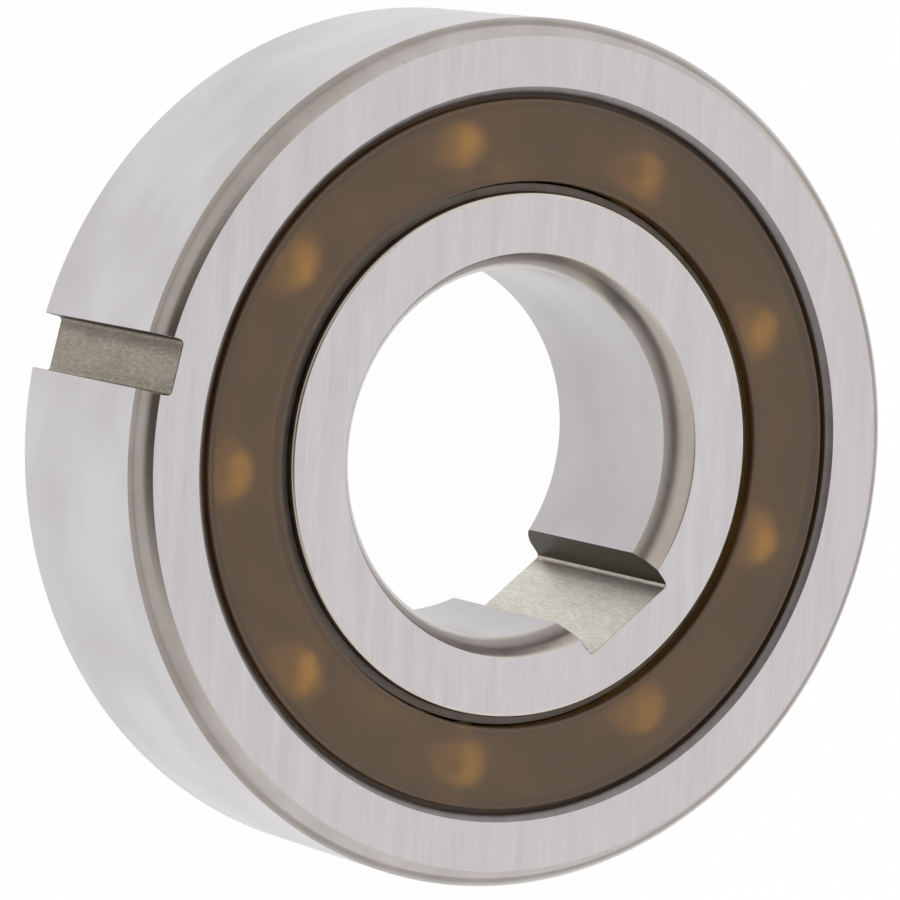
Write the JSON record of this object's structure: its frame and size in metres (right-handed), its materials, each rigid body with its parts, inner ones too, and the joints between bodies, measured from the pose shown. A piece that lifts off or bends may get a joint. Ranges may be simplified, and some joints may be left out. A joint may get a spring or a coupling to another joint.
{
  "type": "sprag clutch",
  "caption": "Keyed one-way sprag clutch in ball-bearing form: two ground steel rings with keyways, brown shields on both sides, a row of balls and a row of tilting sprags.",
  "frame": {"origin": "centre of the bore, halfway through the width", "axes": "+Z along the axis of rotation, out of the face with the balls behind it; +Y through the middle of the outer keyway"},
  "size_m": [0.047, 0.047, 0.014],
  "materials": {
    "ring_steel": "ground",
    "ball_steel": "polished",
    "shield_plastic": "satin",
    "cage_plastic": "moulded",
    "cage_steel": "pressed",
    "sprag_steel": "tumbled",
    "spring_steel": "drawn wire"
  },
  "bodies": {
    "outer_race": {"outer_ring": "ring_steel", "front_shield": "shield_plastic", "rear_shield": "shield_plastic"},
    "inner_race": {"inner_ring": "ring_steel"},
    "ball_carrier": {"ball_cage": "cage_plastic"},
    "rolling_ball_01": {"ball_01": "ball_steel"},
    "rolling_ball_02": {"ball_02": "ball_steel"},
    "rolling_ball_03": {"ball_03": "ball_steel"},
    "rolling_ball_04": {"ball_04": "ball_steel"},
    "rolling_ball_05": {"ball_05": "ball_steel"},
    "rolling_ball_06": {"ball_06": "ball_steel"},
    "rolling_ball_07": {"ball_07": "ball_steel"},
    "rolling_ball_08": {"ball_08": "ball_steel"},
    "rolling_ball_09": {"ball_09": "ball_steel"},
    "sprag_carrier": {"sprag_cage": "cage_steel", "garter_spring": "spring_steel"},
    "rocking_sprag_01": {"sprag_01": "sprag_steel"},
    "rocking_sprag_02": {"sprag_02": "sprag_steel"},
    "rocking_sprag_03": {"sprag_03": "sprag_steel"},
    "rocking_sprag_04": {"sprag_04": "sprag_steel"},
    "rocking_sprag_05": {"sprag_05": "sprag_steel"},
    "rocking_sprag_06": {"sprag_06": "sprag_steel"},
    "rocking_sprag_07": {"sprag_07": "sprag_steel"},
    "rocking_sprag_08": {"sprag_08": "sprag_steel"},
    "rocking_sprag_09": {"sprag_09": "sprag_steel"},
    "rocking_sprag_10": {"sprag_10": "sprag_steel"},
    "rocking_sprag_11": {"sprag_11": "sprag_steel"},
    "rocking_sprag_12": {"sprag_12": "sprag_steel"},
    "rocking_sprag_13": {"sprag_13": "sprag_steel"},
    "rocking_sprag_14": {"sprag_14": "sprag_steel"},
    "rocking_sprag_15": {"sprag_15": "sprag_steel"},
    "rocking_sprag_16": {"sprag_16": "sprag_steel"},
    "rocking_sprag_17": {"sprag_17": "sprag_steel"},
    "rocking_sprag_18": {"sprag_18": "sprag_steel"}
  },
  "joints": [
    {"name": "inner_ring_turn", "type": "hinge", "parent": "outer_race", "child": "inner_race", "pos_m": [0, 0, 0], "axis": [0, 0, 1], "range_deg": [0, 360]},
    {"name": "ball_cage_turn", "type": "hinge", "parent": "outer_race", "child": "ball_carrier", "pos_m": [0, 0, 0], "axis": [0, 0, 1], "range_deg": [0, 151]},
    {"name": "sprag_cage_turn", "type": "hinge", "parent": "outer_race", "child": "sprag_carrier", "pos_m": [0, 0, 0], "axis": [0, 0, 1], "range_deg": [0, 360]},
    {"name": "ball_01_spin", "type": "hinge", "parent": "ball_carrier", "child": "rolling_ball_01", "pos_m": [0.01531, 0.0074, 0.00332], "axis": [0, 0, 1], "range_deg": [-1075, 0]},
    {"name": "ball_02_spin", "type": "hinge", "parent": "ball_carrier", "child": "rolling_ball_02", "pos_m": [0.00697, 0.01551, 0.00332], "axis": [0, 0, 1], "range_deg": [-1075, 0]},
    {"name": "ball_03_spin", "type": "hinge", "parent": "ball_carrier", "child": "rolling_ball_03", "pos_m": [-0.00463, 0.01636, 0.00332], "axis": [0, 0, 1], "range_deg": [-1075, 0]},
    {"name": "ball_04_spin", "type": "hinge", "parent": "ball_carrier", "child": "rolling_ball_04", "pos_m": [-0.01406, 0.00956, 0.00332], "axis": [0, 0, 1], "range_deg": [-1075, 0]},
    {"name": "ball_05_spin", "type": "hinge", "parent": "ball_carrier", "child": "rolling_ball_05", "pos_m": [-0.01691, -0.00172, 0.00332], "axis": [0, 0, 1], "range_deg": [-1075, 0]},
    {"name": "ball_06_spin", "type": "hinge", "parent": "ball_carrier", "child": "rolling_ball_06", "pos_m": [-0.01185, -0.01219, 0.00332], "axis": [0, 0, 1], "range_deg": [-1075, 0]},
    {"name": "ball_07_spin", "type": "hinge", "parent": "ball_carrier", "child": "rolling_ball_07", "pos_m": [-0.00125, -0.01695, 0.00332], "axis": [0, 0, 1], "range_deg": [-1075, 0]},
    {"name": "ball_08_spin", "type": "hinge", "parent": "ball_carrier", "child": "rolling_ball_08", "pos_m": [0.00994, -0.01379, 0.00332], "axis": [0, 0, 1], "range_deg": [-1075, 0]},
    {"name": "ball_09_spin", "type": "hinge", "parent": "ball_carrier", "child": "rolling_ball_09", "pos_m": [0.01648, -0.00417, 0.00332], "axis": [0, 0, 1], "range_deg": [-1075, 0]},
    {"name": "sprag_01_tilt", "type": "hinge", "parent": "sprag_carrier", "child": "rocking_sprag_01", "pos_m": [0, 0.01729, -0.00299], "axis": [0, 0, 1], "range_deg": [-6, 0]},
    {"name": "sprag_02_tilt", "type": "hinge", "parent": "sprag_carrier", "child": "rocking_sprag_02", "pos_m": [-0.00591, 0.01625, -0.00299], "axis": [0, 0, 1], "range_deg": [-6, 0]},
    {"name": "sprag_03_tilt", "type": "hinge", "parent": "sprag_carrier", "child": "rocking_sprag_03", "pos_m": [-0.01112, 0.01325, -0.00299], "axis": [0, 0, 1], "range_deg": [-6, 0]},
    {"name": "sprag_04_tilt", "type": "hinge", "parent": "sprag_carrier", "child": "rocking_sprag_04", "pos_m": [-0.01498, 0.00865, -0.00299], "axis": [0, 0, 1], "range_deg": [-6, 0]},
    {"name": "sprag_05_tilt", "type": "hinge", "parent": "sprag_carrier", "child": "rocking_sprag_05", "pos_m": [-0.01703, 0.003, -0.00299], "axis": [0, 0, 1], "range_deg": [-6, 0]},
    {"name": "sprag_06_tilt", "type": "hinge", "parent": "sprag_carrier", "child": "rocking_sprag_06", "pos_m": [-0.01703, -0.003, -0.00299], "axis": [0, 0, 1], "range_deg": [-6, 0]},
    {"name": "sprag_07_tilt", "type": "hinge", "parent": "sprag_carrier", "child": "rocking_sprag_07", "pos_m": [-0.01498, -0.00865, -0.00299], "axis": [0, 0, 1], "range_deg": [-6, 0]},
    {"name": "sprag_08_tilt", "type": "hinge", "parent": "sprag_carrier", "child": "rocking_sprag_08", "pos_m": [-0.01112, -0.01325, -0.00299], "axis": [0, 0, 1], "range_deg": [-6, 0]},
    {"name": "sprag_09_tilt", "type": "hinge", "parent": "sprag_carrier", "child": "rocking_sprag_09", "pos_m": [-0.00591, -0.01625, -0.00299], "axis": [0, 0, 1], "range_deg": [-6, 0]},
    {"name": "sprag_10_tilt", "type": "hinge", "parent": "sprag_carrier", "child": "rocking_sprag_10", "pos_m": [0, -0.01729, -0.00299], "axis": [0, 0, 1], "range_deg": [-6, 0]},
    {"name": "sprag_11_tilt", "type": "hinge", "parent": "sprag_carrier", "child": "rocking_sprag_11", "pos_m": [0.00591, -0.01625, -0.00299], "axis": [0, 0, 1], "range_deg": [-6, 0]},
    {"name": "sprag_12_tilt", "type": "hinge", "parent": "sprag_carrier", "child": "rocking_sprag_12", "pos_m": [0.01112, -0.01325, -0.00299], "axis": [0, 0, 1], "range_deg": [-6, 0]},
    {"name": "sprag_13_tilt", "type": "hinge", "parent": "sprag_carrier", "child": "rocking_sprag_13", "pos_m": [0.01498, -0.00865, -0.00299], "axis": [0, 0, 1], "range_deg": [-6, 0]},
    {"name": "sprag_14_tilt", "type": "hinge", "parent": "sprag_carrier", "child": "rocking_sprag_14", "pos_m": [0.01703, -0.003, -0.00299], "axis": [0, 0, 1], "range_deg": [-6, 0]},
    {"name": "sprag_15_tilt", "type": "hinge", "parent": "sprag_carrier", "child": "rocking_sprag_15", "pos_m": [0.01703, 0.003, -0.00299], "axis": [0, 0, 1], "range_deg": [-6, 0]},
    {"name": "sprag_16_tilt", "type": "hinge", "parent": "sprag_carrier", "child": "rocking_sprag_16", "pos_m": [0.01498, 0.00865, -0.00299], "axis": [0, 0, 1], "range_deg": [-6, 0]},
    {"name": "sprag_17_tilt", "type": "hinge", "parent": "sprag_carrier", "child": "rocking_sprag_17", "pos_m": [0.01112, 0.01325, -0.00299], "axis": [0, 0, 1], "range_deg": [-6, 0]},
    {"name": "sprag_18_tilt", "type": "hinge", "parent": "sprag_carrier", "child": "rocking_sprag_18", "pos_m": [0.00591, 0.01625, -0.00299], "axis": [0, 0, 1], "range_deg": [-6, 0]}
  ],
  "couplings": [
    {"joint": "ball_cage_turn", "follows": "inner_ring_turn", "ratio": 0.41829},
    {"joint": "ball_01_spin", "follows": "inner_ring_turn", "ratio": -2.978},
    {"joint": "ball_02_spin", "follows": "inner_ring_turn", "ratio": -2.978},
    {"joint": "ball_03_spin", "follows": "inner_ring_turn", "ratio": -2.978},
    {"joint": "ball_04_spin", "follows": "inner_ring_turn", "ratio": -2.978},
    {"joint": "ball_05_spin", "follows": "inner_ring_turn", "ratio": -2.978},
    {"joint": "ball_06_spin", "follows": "inner_ring_turn", "ratio": -2.978},
    {"joint": "ball_07_spin", "follows": "inner_ring_turn", "ratio": -2.978},
    {"joint": "ball_08_spin", "follows": "inner_ring_turn", "ratio": -2.978},
    {"joint": "ball_09_spin", "follows": "inner_ring_turn", "ratio": -2.978},
    {"joint": "sprag_02_tilt", "follows": "sprag_01_tilt", "ratio": 1},
    {"joint": "sprag_03_tilt", "follows": "sprag_01_tilt", "ratio": 1},
    {"joint": "sprag_04_tilt", "follows": "sprag_01_tilt", "ratio": 1},
    {"joint": "sprag_05_tilt", "follows": "sprag_01_tilt", "ratio": 1},
    {"joint": "sprag_06_tilt", "follows": "sprag_01_tilt", "ratio": 1},
    {"joint": "sprag_07_tilt", "follows": "sprag_01_tilt", "ratio": 1},
    {"joint": "sprag_08_tilt", "follows": "sprag_01_tilt", "ratio": 1},
    {"joint": "sprag_09_tilt", "follows": "sprag_01_tilt", "ratio": 1},
    {"joint": "sprag_10_tilt", "follows": "sprag_01_tilt", "ratio": 1},
    {"joint": "sprag_11_tilt", "follows": "sprag_01_tilt", "ratio": 1},
    {"joint": "sprag_12_tilt", "follows": "sprag_01_tilt", "ratio": 1},
    {"joint": "sprag_13_tilt", "follows": "sprag_01_tilt", "ratio": 1},
    {"joint": "sprag_14_tilt", "follows": "sprag_01_tilt", "ratio": 1},
    {"joint": "sprag_15_tilt", "follows": "sprag_01_tilt", "ratio": 1},
    {"joint": "sprag_16_tilt", "follows": "sprag_01_tilt", "ratio": 1},
    {"joint": "sprag_17_tilt", "follows": "sprag_01_tilt", "ratio": 1},
    {"joint": "sprag_18_tilt", "follows": "sprag_01_tilt", "ratio": 1}
  ]
}
